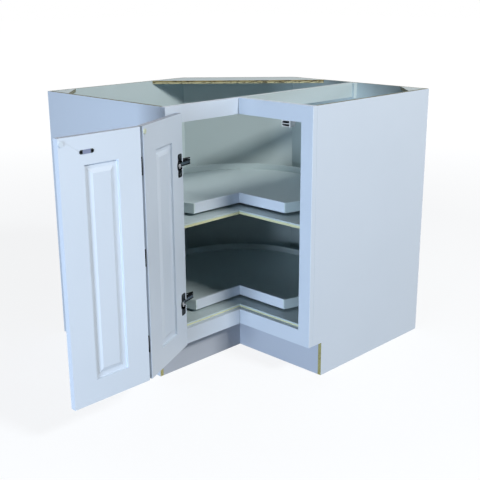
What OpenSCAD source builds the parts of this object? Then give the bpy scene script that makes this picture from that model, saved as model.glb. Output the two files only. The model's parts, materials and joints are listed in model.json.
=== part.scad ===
// Corner base cabinet with two pie-cut turntable shelves and a bi-fold door.
// The origin is on the floor, at the point where the two room walls meet.
// The right wing runs along +X and the left wing along -Y; both face the notch at (+X, -Y).
// The door is drawn open, folded back past the left wing.

/* [Carcass] */
// Length of the cabinet along each room wall
wall_run = 914.4; // [860:0.1:1000]
// Depth of each wing, from the wall to the front of the face frame
wing_depth = 609.6; // [570:0.1:640]
// Height from the floor to the top edge
cabinet_h = 876.3; // [780:0.1:940]
// Thickness of the end panels, the floor and the fixed shelf
panel_t = 12.7; // [10:0.1:19]
// Thickness of the panels against the walls
back_t = 9; // [6:0.5:13]
// Distance from the wall corner to each end of the diagonal panel
corner_clip = 305; // [250:1:340]
// Height of the top face of the fixed shelf above the floor
shelf_top = 504; // [440:1:540]
// How far the cabinet floor stands above the bottom rails
floor_lip = 9; // [4:0.5:12]
// Side of the square cleats under the floor and the shelf
cleat_s = 19; // [12:1:25]

/* [Toe space] */
// Height of the toe space
toe_h = 114.3; // [90:0.1:130]
// Depth of the toe space behind the face frame's front
toe_set = 62; // [40:1:80]
// Thickness of the toe boards
toe_t = 12; // [9:0.5:19]

/* [Face frame] */
// Thickness of the face frame
frame_t = 19; // [16:0.5:22]
// Width of the two outer stiles
stile_w = 45; // [38:0.5:60]
// Height of the top rails and of the stretcher behind them
top_rail_h = 51; // [40:0.5:64]
// Height of the bottom rails
bottom_rail_h = 51; // [42:0.5:64]

/* [Top bracing] */
// Distance along each wall from the corner to the front edge of the diagonal brace
brace_reach = 472; // [440:1:580]
// Thickness of the brace and the gussets
brace_t = 12; // [9:0.5:19]
// Leg of the triangular gussets in the outer corners
gusset_leg = 95; // [60:1:120]
// Radius of the worktop screw holes in the gussets
screw_hole_r = 2.5; // [2:0.1:4]
// Width of the small cleat that ties the stretcher to the wall panel
tie_w = 9; // [6:0.5:14]

/* [Door leaves] */
// Thickness of the door leaves
leaf_t = 19; // [18:0.5:21]
// Gap between the closed door and the face frame
leaf_gap = 3; // [2.8:0.1:4]
// Overlay of the door on the outer stiles
side_overlay = 22.7; // [20:0.1:24]
// Overlay of the door on the top rails
top_overlay = 32; // [15:0.5:38]
// Overlay of the door on the bottom rails
bottom_overlay = 41; // [15:0.5:45]
// Width of the stiles of each leaf, as a share of the leaf's width
leaf_stile_share = 0.3035; // [0.24:0.0005:0.33]
// Height of the top rail of each leaf
leaf_top_rail_h = 79; // [60:0.5:95]
// Height of the bottom rail of each leaf
leaf_bottom_rail_h = 68; // [55:0.5:90]
// Depth of the groove that holds the panel
groove_d = 8; // [6:0.5:11]
// Room for the panel to swell at the bottom of the groove
groove_gap = 1; // [0.5:0.1:2]
// Thickness of the panel's tongue
tongue_t = 8; // [6:0.5:9]
// Width of the sloping inner edge of the stiles and rails
slope_w = 3; // [1:0.5:6]
// Width of the bevel round the raised field on the front, as a share of the opening's width
field_bevel_share = 0.277; // [0.15:0.001:0.31]
// Border between the stiles and the raised field on the front
front_margin = 2; // [1:0.5:4]
// Border between the stiles and the low field on the back
back_margin = 10; // [6:0.5:14]
// Width of the bevel round the low field on the back
back_bevel = 6; // [3:0.5:10]
// Height of the low field on the back
back_rise = 1.8; // [0.5:0.1:3]
// Chamfer on the front edges of the leaves
edge_chamfer = 1.5; // [1.4:0.1:2.5]
// Angle from closed at which the hinged leaf is drawn
door_open = 155; // [0:1:165]
// Angle from closed at which the folding leaf is drawn
fold_open = 65; // [0:1:69]

/* [Fold hinges] */
// Height of each fold hinge
fold_hinge_h = 51; // [40:1:64]
// Distance from the ends of the leaf to the outer fold hinges' middles
fold_hinge_inset = 108; // [60:1:140]
// Radius of the knuckles
knuckle_r = 3; // [2.6:0.1:3.2]
// Radius of the fold hinge pins
fold_pin_r = 1.2; // [0.8:0.1:1.5]
// Thickness of the hinge leaves
hinge_leaf_t = 1.2; // [0.8:0.1:1.2]
// Length of the hinge leaves across the edge of the door
hinge_leaf_w = 14; // [10:0.5:15]
// Distance of the pin from the end face of each door leaf
fold_edge_gap = 1.5; // [1.5:0.1:2.2]
// Distance of the pin in front of the door's front face
fold_pin_proud = 2; // [1.8:0.1:2.6]

/* [Cup hinges] */
// Distance from the bottom of the leaf to the lower cup hinge's middle
cup_low = 145; // [110:1:175]
// Distance from the top of the leaf to the upper cup hinge's middle
cup_high = 152; // [110:1:175]
// Radius of the cup
cup_r = 17.5; // [17.5:0.1:18]
// Depth of the cup
cup_d = 16.5; // [15.5:0.1:17]
// Wall of the cup
cup_wall = 0.8; // [0.5:0.1:1]
// Distance from the edge of the leaf to the cup's middle
cup_edge = 22.5; // [22:0.1:23]
// Distance of the hinge pin from the edge of the leaf
pivot_edge = 8.5; // [8:0.1:8.6]
// Depth of the hinge pin below the back face of the leaf
pivot_d = 12.5; // [12:0.1:13]
// Radius of the hinge pin
cup_pin_r = 1.4; // [1:0.1:1.5]
// Height of the cup's flange
flange_h = 66; // [56:1:74]
// Width of the flange's wings
flange_w = 24; // [18:1:28]
// Thickness of the flange
flange_t = 1.2; // [0.8:0.1:1.3]
// Width of the flange's rim round the cup
flange_rim = 1; // [0.5:0.1:2]
// Height of the hinge arm
arm_h = 14; // [8:0.5:15]
// Thickness of the steel of the hinge arm
arm_t = 2.5; // [1.5:0.1:2.6]
// Distance of the arm's first bend from the hinge pin, along the leaf
arm_mouth = 16.3; // [15.5:0.1:17]
// Depth of the arm's first bend below the back face of the leaf
arm_mouth_d = 4.9; // [4:0.1:5.5]
// Distance of the arm's second bend from the hinge pin, along the leaf
arm_knee = 26.1; // [25:0.1:28]
// Height of the arm's second bend above the back face of the leaf
arm_knee_out = 2.3; // [2:0.1:2.6]
// How far the arm's elbow reaches into the opening, from the edge of the stile
arm_elbow = 59.4; // [54:0.1:64]
// Run of the short slope at the elbow
arm_elbow_run = 2; // [1:0.1:4]
// Distance of the arm's return from the back of the face frame
arm_return = 3.5; // [2.5:0.1:6]
// Height of the mounting plate on the stile
mount_plate_h = 50; // [36:1:60]
// Thickness of the mounting plate
mount_plate_t = 2; // [1.5:0.1:2.5]
// Distance of the mounting plate from the faces of the stile
mount_plate_inset = 2; // [1:0.1:3]

/* [Catch] */
// Distance of the catch's middle from the free edge of the closed leaf
catch_edge = 84; // [60:1:130]
// Width of the catch
catch_w = 34; // [30:1:44]
// Height of the catch
catch_h = 20; // [16:0.5:24]
// Depth of the catch
catch_d = 24; // [18:0.5:30]
// Distance of the catch's front from the front of the face frame
catch_set = 1; // [0.5:0.1:2]
// Thickness of the side walls of the catch's body
catch_wall = 4; // [3:0.1:5]
// Thickness of the top and bottom walls of the catch's body
catch_lid = 2; // [1.5:0.1:3]
// Thickness of the back wall of the catch's body
catch_back_wall = 8; // [4:0.5:10]
// Thickness of each steel pole plate
pole_t = 3.8; // [1.5:0.1:4]
// Thickness of the magnet between them
magnet_t = 3; // [2:0.1:4]
// How far the strike plate runs past its screws' heads
strike_end = 1.6; // [1:0.1:4]
// Height of the strike plate
strike_h = 11; // [8:0.5:14]
// Thickness of the strike plate
strike_t = 1.2; // [1:0.1:1.4]
// Radius of the bumper pads
bumper_r = 7; // [3:0.5:8]
// Thickness of the bumper pads
bumper_t = 2.7; // [1.5:0.1:2.7]
// Distance of the bumper pads from the side edge of the leaf
bumper_in = 1.5; // [1:0.5:6]
// Distance of the bumper pads from the top of the leaf
bumper_down = 8; // [2:0.5:14]

/* [Turntables] */
// Distance of the turntables' axis from each wall
turn_at = 430; // [415:1:440]
// Radius of the turntables
tray_r = 340; // [300:1:350]
// Distance from the axis to each straight side of the notch
notch_at = 114; // [90:1:130]
// Thickness of the turntables' boards
tray_t = 12; // [8:0.5:16]
// Height of the rim, measured from the underside
rim_h = 34; // [24:0.5:60]
// Thickness of the curved rim
rim_t = 5; // [3:0.5:8]
// Thickness of the straight boards along the notch
notch_board_t = 9; // [6:0.5:14]

/* [Turntable bearings] */
// Height of each bearing
bearing_h = 9.5; // [9:0.1:13]
// Gap between the two rings of a bearing
ring_gap = 0.9; // [0.6:0.1:1.4]
// Outer radius of the bearing rings
bearing_r = 114; // [90:1:140]
// Radius of the hole in the rings
bearing_hole_r = 40; // [20:1:42]
// Radius of the circle on which the balls run
race_r = 92; // [70:1:98]
// Radius of the balls
ball_r = 2.5; // [2:0.1:2.6]
// Number of balls in each bearing
ball_count = 12; // [8:1:24]
// Radius of the circle of bearing screws
bearing_screw_at = 62; // [56:1:68]
// Number of bearing screws in each bearing
bearing_screws_n = 4; // [3:1:8]
// Depth of the bearing screws' heads below the face of the ring
screw_sink = 0.5; // [0.3:0.1:1]

/* [Screws] */
// Radius of the screws' shanks
screw_r = 1.6; // [1.2:0.1:2]
// Radius of the screws' heads
screw_head_r = 3.4; // [2.8:0.1:4]
// Height of the screws' heads
screw_head_h = 1.4; // [1:0.1:2]
// Length of the screws' shanks
screw_l = 9; // [6:0.5:11]

/* [Hidden] */

$fn = 64;
cut = 1;             // how far a cutting solid runs past what it cuts
running_gap = 0.05;  // radial clearance round a hinge pin
free_gap = 0.3;      // clearance between parts that pass each other
tray_fn = 128;       // sides of the turntables' circles
white = "#E9EEF2";
raw_ply = "#B59A62";
steel = "#8E9296";
dark_steel = "#3C3F42";
bright_steel = "silver";
ferrite = "#55585B";
clear_pad = "#D8D2A8";

// Carcass
end_inner = wall_run - panel_t;
frame_back = wing_depth - frame_t;
toe_face = wing_depth - toe_set;
toe_back = toe_face - toe_t;
stile_inner = wall_run - stile_w;
floor_top = toe_h + bottom_rail_h + floor_lip;
clip_inner = corner_clip + back_t * tan(22.5);
rail_bottom = cabinet_h - top_rail_h;

// Door leaves, in the closed position of the right wing
leaf_back = wing_depth + leaf_gap;
leaf_front = leaf_back + leaf_t;
fold_axis = leaf_front + fold_pin_proud;
leaf_start = fold_axis + fold_edge_gap;
leaf_w = stile_inner + side_overlay - leaf_start;
leaf_stile_w = leaf_w * leaf_stile_share;
leaf_z = toe_h + bottom_rail_h - bottom_overlay;
leaf_h = rail_bottom + top_overlay - leaf_z;
recess_d = (leaf_t - tongue_t) / 2;
opening_w = leaf_w - 2 * leaf_stile_w;
field_bevel = opening_w * field_bevel_share;

// Cup hinge: the pin's place on the leaf, and the cuts that let the arm pass
pivot_x = leaf_w - pivot_edge;
pivot_world = leaf_start + pivot_x;
cup_x = leaf_w - cup_edge;
cup_heights = [cup_low, leaf_h - cup_high];
arm_slot_h = arm_h + 4 * free_gap;
arm_eye_r = cup_r - cup_wall - (cup_edge - pivot_edge) - 2 * running_gap;
fold_heights = [fold_hinge_inset, leaf_h / 2, leaf_h - fold_hinge_inset];
flange_end_r = flange_w / 4;
flange_hole_at = flange_h / 2 - flange_end_r;

// Catch
catch_at = leaf_w - catch_edge;
catch_x = leaf_start + catch_at;
catch_z = rail_bottom - catch_h / 2;
catch_front = -wing_depth + catch_set;
catch_back = -wing_depth + catch_d - catch_back_wall;
pole_half = catch_w / 2 - catch_wall;
strike_hole_at = pole_half + screw_head_r + 2 * free_gap;
strike_w = 2 * (strike_hole_at + screw_head_r + strike_end);
strike_z = catch_z - leaf_z;

// Turntables
ring_t = (bearing_h - ring_gap) / 2;
head_z = ring_t - screw_head_h - screw_sink;
upper_tray_z = shelf_top + bearing_h;
lower_tray_z = floor_top + bearing_h;

// A box between two opposite corners
module board(low, high) {
    translate(low) cube(high - low);
}

// Mirrors a part of the right wing into the left wing
module left_wing() {
    mirror([1, 1, 0]) children();
}

// A point beside a path's point, where the path's edge at that distance has its mitre
function beside(path, i, distance) =
    let (
        before = i > 0 ? path[i] - path[i - 1] : path[1] - path[0],
        after = i < len(path) - 1 ? path[i + 1] - path[i] : before,
        across = [-before[1], before[0]] / norm(before) + [-after[1], after[0]] / norm(after)
    )
    path[i] + across * 2 * distance / (across * across);

// A steel strip of even thickness that follows a path in plan
module strip(path, thick, tall) {
    last = len(path) - 1;
    translate([0, 0, -tall / 2]) linear_extrude(tall) polygon(concat(
        [for (i = [0 : last]) beside(path, i, thick / 2)],
        [for (i = [last : -1 : 0]) beside(path, i, -thick / 2)]
    ));
}

// A wood screw with a low round head: its head stands on z = 0, its shank points down
module screw() {
    cylinder(r = screw_head_r, h = screw_head_h);
    translate([0, 0, -screw_l]) cylinder(r = screw_r, h = screw_l);
}

// The hole for such a screw's shank
module screw_bore() {
    translate([0, 0, -screw_l]) cylinder(r = screw_r, h = screw_l + cut);
}

// ---- Carcass

module end_panel() {
    color(white) difference() {
        board([end_inner, -frame_back, 0], [wall_run, 0, cabinet_h]);
        board([end_inner - cut, -frame_back - cut, -cut], [wall_run + cut, -toe_face, toe_h]);
    }
}

module back_panel() {
    color(white) linear_extrude(cabinet_h)
        polygon([[corner_clip, 0], [end_inner, 0], [end_inner, -back_t], [clip_inner, -back_t]]);
}

module left_end_panel() { left_wing() end_panel(); }

module right_end_panel() { end_panel(); }

module left_back_panel() { left_wing() back_panel(); }

module right_back_panel() { back_panel(); }

module diagonal_back_panel() {
    color(white) linear_extrude(cabinet_h)
        polygon([
            [corner_clip, 0], [clip_inner, -back_t],
            [back_t, -clip_inner], [0, -corner_clip]
        ]);
}

// Plan of the floor and the shelf: an L with its outer corner cut off
module deck_plan() {
    polygon([
        [clip_inner, -back_t], [end_inner, -back_t], [end_inner, -frame_back],
        [frame_back, -frame_back], [frame_back, -end_inner], [back_t, -end_inner],
        [back_t, -clip_inner]
    ]);
}

// The places of one bearing's screws
module at_bearing_screws() {
    translate([turn_at, -turn_at, 0])
        for (i = [0 : bearing_screws_n - 1])
            rotate(45 + i * 360 / bearing_screws_n)
                translate([bearing_screw_at, 0, 0]) children();
}

module deck(top) {
    color(white) difference() {
        translate([0, 0, top - panel_t]) linear_extrude(panel_t) deck_plan();
        translate([0, 0, top]) at_bearing_screws() screw_bore();
    }
}

module cabinet_floor() { deck(floor_top); }

module fixed_shelf() { deck(shelf_top); }

// Cleats that carry a deck, along the end panel and the back panel of the right wing
module wing_cleats(under, front) {
    board([end_inner - cleat_s, -front, under - cleat_s],
          [end_inner, -back_t - cleat_s, under]);
    board([clip_inner + cleat_s, -back_t - cleat_s, under - cleat_s],
          [end_inner, -back_t, under]);
}

module floor_cleats() {
    color(raw_ply) {
        wing_cleats(floor_top - panel_t, toe_back);
        left_wing() wing_cleats(floor_top - panel_t, toe_back);
    }
}

module shelf_cleats() {
    color(white) {
        wing_cleats(shelf_top - panel_t, frame_back);
        left_wing() wing_cleats(shelf_top - panel_t, frame_back);
    }
}

module outer_stile() {
    color(white)
        board([stile_inner, -wing_depth, toe_h], [wall_run, -frame_back, cabinet_h]);
}

module right_outer_stile() { outer_stile(); }

module left_outer_stile() {
    color(white) difference() {
        left_wing() outer_stile();
        left_wing() at_plate_screws() screw_bore();
    }
}

// The right rails run past the inner corner; the left rails butt against them
module right_rail(low, high) {
    color(white) board([frame_back, -wing_depth, low], [stile_inner, -frame_back, high]);
}

module left_rail(low, high) {
    color(white) board([frame_back, -stile_inner, low], [wing_depth, -wing_depth, high]);
}

module right_top_rail() { right_rail(rail_bottom, cabinet_h); }

module left_top_rail() { left_rail(rail_bottom, cabinet_h); }

module right_bottom_rail() { right_rail(toe_h, toe_h + bottom_rail_h); }

module left_bottom_rail() { left_rail(toe_h, toe_h + bottom_rail_h); }

module right_toe_board() {
    color(white)
        board([toe_back, -toe_face, 0], [end_inner, -toe_back, floor_top - panel_t]);
}

module left_toe_board() {
    color(white)
        board([toe_back, -end_inner, 0], [toe_face, -toe_face, floor_top - panel_t]);
}

module corner_brace() {
    color(raw_ply) translate([0, 0, cabinet_h - brace_t]) linear_extrude(brace_t)
        polygon([
            [clip_inner, -back_t], [brace_reach - back_t, -back_t],
            [back_t, back_t - brace_reach], [back_t, -clip_inner]
        ]);
}

module gusset() {
    translate([end_inner, -back_t, cabinet_h - brace_t]) difference() {
        linear_extrude(brace_t) polygon([[0, 0], [-gusset_leg, 0], [0, -gusset_leg]]);
        translate([-gusset_leg / 3, -gusset_leg / 3, -cut])
            cylinder(r = screw_hole_r, h = brace_t + 2 * cut);
    }
}

module corner_gussets() {
    color(raw_ply) {
        gusset();
        left_wing() gusset();
    }
}

module top_stretcher() {
    color(white)
        board([frame_back, -frame_back, rail_bottom], [wing_depth, -back_t, cabinet_h]);
}

module stretcher_cleat() {
    color(raw_ply)
        board([wing_depth, -back_t - 2 * tie_w, rail_bottom - tie_w / 2],
              [wing_depth + tie_w, -back_t, cabinet_h]);
}

// ---- Cup hinges, on the frame side. Plans are drawn for the right wing and mirrored

module at_cup_heights() {
    for (z = cup_heights) translate([0, 0, leaf_z + z]) children();
}

// The cranked arm: from the pin, out of the cup, round an elbow and back to the plate
arm_path = [
    [pivot_world, -leaf_back - pivot_d],
    [pivot_world - arm_mouth, -leaf_back - arm_mouth_d],
    [pivot_world - arm_knee, -leaf_back + arm_knee_out],
    [stile_inner - arm_elbow + arm_elbow_run, -frame_back - 2 * arm_return],
    [stile_inner - arm_elbow, -frame_back - arm_return],
    [stile_inner - mount_plate_t, -frame_back - arm_return]
];

module hinge_arm() {
    difference() {
        union() {
            strip(arm_path, arm_t, arm_h);
            translate([arm_path[0][0], arm_path[0][1], -arm_h / 2])
                cylinder(r = arm_eye_r, h = arm_h);
        }
        translate([arm_path[0][0], arm_path[0][1], -arm_h / 2 - cut])
            cylinder(r = cup_pin_r + running_gap, h = arm_h + 2 * cut);
    }
}

module hinge_arms() {
    color(dark_steel) left_wing() at_cup_heights() hinge_arm();
}

// The screws that hold a mounting plate to the edge of the stile
module at_plate_screws() {
    at_cup_heights()
        for (side = [-1, 1])
            translate([
                stile_inner, (-wing_depth - frame_back) / 2,
                side * (mount_plate_h / 2 - screw_head_r - mount_plate_inset)
            ])
                rotate([0, -90, 0]) children();
}

module hinge_mount_plates() {
    color(steel) left_wing() difference() {
        at_cup_heights()
            board([stile_inner - mount_plate_t, -wing_depth + mount_plate_inset, -mount_plate_h / 2],
                  [stile_inner, -frame_back - mount_plate_inset, mount_plate_h / 2]);
        at_plate_screws() translate([0, 0, -cut]) cylinder(r = screw_r, h = mount_plate_t + 2 * cut);
    }
}

module hinge_plate_screws() {
    color(steel) left_wing() at_plate_screws() {
        translate([0, 0, mount_plate_t]) cylinder(r = screw_head_r, h = screw_head_h);
        translate([0, 0, -screw_l]) cylinder(r = screw_r, h = screw_l + mount_plate_t);
    }
}

// ---- Magnetic catch under the right top rail

module catch_body() {
    color(white) difference() {
        board([catch_x - catch_w / 2, catch_front, rail_bottom - catch_h],
              [catch_x + catch_w / 2, -wing_depth + catch_d, rail_bottom]);
        board([catch_x - pole_half, -wing_depth, catch_z - catch_h / 2 + catch_lid],
              [catch_x + pole_half, catch_back, catch_z + catch_h / 2 - catch_lid]);
    }
}

module catch_magnet() {
    color(ferrite)
        board([catch_x - pole_half, catch_front, catch_z - magnet_t / 2],
              [catch_x + pole_half, catch_back, catch_z + magnet_t / 2]);
}

module catch_poles() {
    color(dark_steel) for (side = [-1, 1])
        translate([0, 0, side * (magnet_t + pole_t) / 2])
            board([catch_x - pole_half, -leaf_back + strike_t + free_gap, catch_z - pole_t / 2],
                  [catch_x + pole_half, catch_back, catch_z + pole_t / 2]);
}

// ---- Turntable bearings

module bearing_ring(race_gap, race_z) {
    difference() {
        cylinder(r = bearing_r, h = ring_t);
        translate([0, 0, -cut]) cylinder(r = bearing_hole_r, h = ring_t + 2 * cut);
        translate([0, 0, race_z])
            rotate_extrude() translate([race_r, 0]) circle(r = ball_r + race_gap);
    }
}

module bearing_base(z) {
    color(steel) translate([0, 0, z]) difference() {
        translate([turn_at, -turn_at, 0]) bearing_ring(running_gap, bearing_h / 2);
        at_bearing_screws() {
            translate([0, 0, -cut]) cylinder(r = screw_r, h = ring_t + 2 * cut);
            translate([0, 0, head_z]) cylinder(r = screw_head_r + free_gap, h = ring_t);
        }
    }
}

module upper_bearing_base() { bearing_base(shelf_top); }

module lower_bearing_base() { bearing_base(floor_top); }

module bearing_balls() {
    color(bright_steel) for (z = [shelf_top, floor_top])
        translate([turn_at, -turn_at, z + bearing_h / 2])
            for (i = [0 : ball_count - 1])
                rotate(i * 360 / ball_count) translate([race_r, 0, 0]) sphere(r = ball_r);
}

module bearing_screws() {
    color(steel) for (z = [shelf_top, floor_top])
        translate([0, 0, z]) at_bearing_screws() {
            translate([0, 0, head_z]) cylinder(r = screw_head_r, h = screw_head_h);
            translate([0, 0, -screw_l]) cylinder(r = screw_r, h = screw_l + head_z);
        }
}

module bearing_top(z) {
    color(steel) translate([turn_at, -turn_at, z - ring_t])
        bearing_ring(free_gap, ring_t - bearing_h / 2);
}

module upper_bearing_top() { bearing_top(upper_tray_z); }

module lower_bearing_top() { bearing_top(lower_tray_z); }

// ---- Turntables

// The corner that is cut out of the disc, with its sides moved by a distance
module notch(by, tall) {
    translate([notch_at + by, -tray_r - cut - notch_at - by, -cut])
        cube([tray_r + cut, tray_r + cut, tall + 2 * cut]);
}

module tray_board(z) {
    color(white) translate([turn_at, -turn_at, z]) difference() {
        cylinder(r = tray_r - rim_t, h = tray_t, $fn = tray_fn);
        notch(-notch_board_t, tray_t);
    }
}

module tray_rim(z) {
    color(white) translate([turn_at, -turn_at, z]) difference() {
        cylinder(r = tray_r, h = rim_h, $fn = tray_fn);
        translate([0, 0, -cut]) cylinder(r = tray_r - rim_t, h = rim_h + 2 * cut, $fn = tray_fn);
        notch(0, rim_h);
    }
}

module tray_notch_boards(z) {
    color(white) translate([turn_at, -turn_at, z]) intersection() {
        cylinder(r = tray_r - rim_t, h = rim_h, $fn = tray_fn);
        union() {
            board([notch_at, -notch_at, 0], [tray_r, -notch_at + notch_board_t, rim_h]);
            board([notch_at - notch_board_t, -tray_r, 0],
                  [notch_at, -notch_at + notch_board_t, rim_h]);
        }
    }
}

module upper_tray_board() { tray_board(upper_tray_z); }

module upper_tray_rim() { tray_rim(upper_tray_z); }

module upper_tray_notch_boards() { tray_notch_boards(upper_tray_z); }

module lower_tray_board() { tray_board(lower_tray_z); }

module lower_tray_rim() { tray_rim(lower_tray_z); }

module lower_tray_notch_boards() { tray_notch_boards(lower_tray_z); }

// ---- Door leaves. A leaf is drawn with its fold end at x = 0 and its back face at y = 0

// Cross-section of a stile: its inner edge slopes to the groove on both faces
module stile_profile() {
    polygon([
        [0, 0],
        [leaf_stile_w - slope_w, 0],
        [leaf_stile_w, -recess_d],
        [leaf_stile_w - groove_d, -recess_d],
        [leaf_stile_w - groove_d, recess_d - leaf_t],
        [leaf_stile_w, recess_d - leaf_t],
        [leaf_stile_w - slope_w, -leaf_t],
        [edge_chamfer, -leaf_t],
        [0, edge_chamfer - leaf_t]
    ]);
}

module leaf_fold_stile() {
    linear_extrude(leaf_h) stile_profile();
}

module leaf_outer_stile() {
    translate([leaf_w, 0, 0]) mirror([1, 0, 0]) linear_extrude(leaf_h) stile_profile();
}

// Cross-section of a bottom rail, as depth and height
module rail_profile(rail_h) {
    polygon([
        [0, 0],
        [0, rail_h - slope_w],
        [-recess_d, rail_h],
        [-recess_d, rail_h - groove_d],
        [recess_d - leaf_t, rail_h - groove_d],
        [recess_d - leaf_t, rail_h],
        [-leaf_t, rail_h - slope_w],
        [-leaf_t, edge_chamfer],
        [edge_chamfer - leaf_t, 0]
    ]);
}

// What the two stiles take up, with their grooves filled
module stiles_space() {
    for (side = [0, 1])
        translate([side * leaf_w, 0, 0]) mirror([side, 0, 0]) linear_extrude(leaf_h) polygon([
            [0, 0], [leaf_stile_w - slope_w, 0], [leaf_stile_w, -recess_d],
            [leaf_stile_w, recess_d - leaf_t], [leaf_stile_w - slope_w, -leaf_t], [0, -leaf_t]
        ]);
}

// A rail is cut to the stiles' slopes and has a stub tenon in each groove
module leaf_rail(rail_h) {
    difference() {
        translate([leaf_stile_w - slope_w, 0, 0]) rotate([90, 0, 90])
            linear_extrude(opening_w + 2 * slope_w) rail_profile(rail_h);
        stiles_space();
    }
    for (x = [leaf_stile_w - groove_d, leaf_w - leaf_stile_w])
        board([x, recess_d - leaf_t, 0], [x + groove_d, -recess_d, rail_h - groove_d]);
}

module leaf_bottom_rail() {
    leaf_rail(leaf_bottom_rail_h);
}

module leaf_top_rail() {
    translate([0, 0, leaf_h]) mirror([0, 0, 1]) leaf_rail(leaf_top_rail_h);
}

// A field with bevelled sides inside the opening, from one depth to another
module panel_field(margin, from, to, bevel) {
    left = leaf_stile_w + margin;
    right = leaf_w - left;
    low = leaf_bottom_rail_h + margin;
    high = leaf_h - leaf_top_rail_h - margin;
    intersection() {
        linear_extrude(leaf_h)
            polygon([[left, from], [right, from], [right - bevel, to], [left + bevel, to]]);
        rotate([90, 0, 90]) linear_extrude(leaf_w)
            polygon([[from, low], [from, high], [to, high - bevel], [to, low + bevel]]);
    }
}

// The raised panel: a tongue in the grooves, a high field in front and a low one at the back
module leaf_panel() {
    tongue = groove_d - groove_gap;
    board([leaf_stile_w - tongue, recess_d - leaf_t, leaf_bottom_rail_h - tongue],
          [leaf_w - leaf_stile_w + tongue, -recess_d, leaf_h - leaf_top_rail_h + tongue]);
    panel_field(front_margin, recess_d - leaf_t, edge_chamfer - leaf_t, field_bevel);
    panel_field(back_margin, -recess_d, back_rise - recess_d, back_bevel);
}

// A leaf in its closed place on the right wing
module closed_leaf() {
    translate([leaf_start, -leaf_back, leaf_z]) children();
}

// The hinged leaf: closed on the left wing, then swung open about the hinge pins
module hinged_leaf() {
    translate([leaf_back + pivot_d, -pivot_world, 0])
        rotate(-door_open)
            translate([-leaf_back - pivot_d, pivot_world, 0])
                left_wing() closed_leaf() children();
}

// The folding leaf: closed on the right wing, turned at the fold, then swung with the other
module folding_leaf() {
    translate([leaf_back + pivot_d, -pivot_world, 0])
        rotate(-door_open)
            translate([-leaf_back - pivot_d, pivot_world, 0])
                translate([fold_axis, -fold_axis, 0])
                    rotate(fold_open)
                        translate([-fold_axis, fold_axis, 0])
                            closed_leaf() children();
}

module at_cups() {
    for (z = cup_heights) translate([cup_x, 0, z]) children();
}

// Space for the arm between the cup and the edge of the leaf
module arm_slot() {
    for (z = cup_heights)
        board([cup_x, -cup_d, z - arm_slot_h / 2], [leaf_w + cut, flange_t + cut, z + arm_slot_h / 2]);
}

module cup_space() {
    at_cups() rotate([90, 0, 0]) translate([0, 0, -cut]) cylinder(r = cup_r, h = cup_d + cut);
}

module at_cup_screws() {
    at_cups() for (side = [-1, 1])
        translate([0, 0, side * flange_hole_at]) rotate([-90, 0, 0]) children();
}

module hinged_leaf_hinge_stile() {
    color(white) hinged_leaf() difference() {
        leaf_outer_stile();
        cup_space();
        arm_slot();
        at_cup_screws() screw_bore();
        for (z = cup_heights) cup_pin(z);
    }
}

module hinged_leaf_fold_stile() { color(white) hinged_leaf() leaf_fold_stile(); }

module hinged_leaf_top_rail() { color(white) hinged_leaf() leaf_top_rail(); }

module hinged_leaf_bottom_rail() { color(white) hinged_leaf() leaf_bottom_rail(); }

module hinged_leaf_panel() { color(white) hinged_leaf() leaf_panel(); }

module folding_leaf_free_stile() {
    color(white) folding_leaf() difference() {
        leaf_outer_stile();
        at_strike_screws() screw_bore();
    }
}

module folding_leaf_fold_stile() { color(white) folding_leaf() leaf_fold_stile(); }

module folding_leaf_top_rail() {
    color(white) folding_leaf() difference() {
        leaf_top_rail();
        at_strike_screws() screw_bore();
    }
}

module folding_leaf_bottom_rail() { color(white) folding_leaf() leaf_bottom_rail(); }

module folding_leaf_panel() { color(white) folding_leaf() leaf_panel(); }

// ---- Cup hinges, on the door side

// The pin across the cup; its ends sit in the cup's wall
module cup_pin(z) {
    reach = sqrt(pow(cup_r, 2) - pow(cup_edge - pivot_edge, 2)) - cup_wall / 2;
    translate([pivot_x, -pivot_d, z - reach]) cylinder(r = cup_pin_r, h = 2 * reach);
}

module cup() {
    difference() {
        union() {
            rotate([90, 0, 0]) cylinder(r = cup_r, h = cup_d);
            rotate([-90, 0, 0]) {
                cylinder(r = cup_r + flange_rim, h = flange_t);
                for (side = [-1, 1])
                    translate([0, side * flange_hole_at, 0]) cylinder(r = flange_end_r, h = flange_t);
            }
            board([-flange_w / 2, 0, -flange_hole_at], [flange_w / 2, flange_t, flange_hole_at]);
        }
        rotate([90, 0, 0]) translate([0, 0, -flange_t - cut])
            cylinder(r = cup_r - cup_wall, h = cup_d - cup_wall + flange_t + cut);
    }
}

module hinge_cups() {
    color(dark_steel) hinged_leaf() difference() {
        at_cups() cup();
        arm_slot();
        at_cup_screws() translate([0, 0, -cut]) cylinder(r = screw_r, h = flange_t + 2 * cut);
        for (z = cup_heights) cup_pin(z);
    }
}

module hinge_pins() {
    color(bright_steel) hinged_leaf() for (z = cup_heights) cup_pin(z);
}

module cup_screws() {
    color(steel) hinged_leaf() at_cup_screws() {
        translate([0, 0, flange_t]) cylinder(r = screw_head_r, h = screw_head_h);
        translate([0, 0, -screw_l]) cylinder(r = screw_r, h = screw_l + flange_t);
    }
}

// ---- Fold hinges: a leaf on each end face and knuckles round one pin

module fold_knuckle(from, to, bore_gap) {
    difference() {
        union() {
            translate([-fold_edge_gap, -leaf_t - fold_pin_proud, from])
                cylinder(r = knuckle_r, h = to - from);
            board([-hinge_leaf_t, -leaf_t - fold_pin_proud, from],
                  [0, -leaf_t + edge_chamfer + knuckle_r, to]);
        }
        translate([-fold_edge_gap, -leaf_t - fold_pin_proud, from - cut])
            cylinder(r = fold_pin_r + bore_gap, h = to - from + 2 * cut);
    }
}

module fold_plate() {
    board([-hinge_leaf_t, -leaf_t + edge_chamfer + free_gap, 0],
          [0, -leaf_t + hinge_leaf_w, fold_hinge_h]);
}

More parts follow.
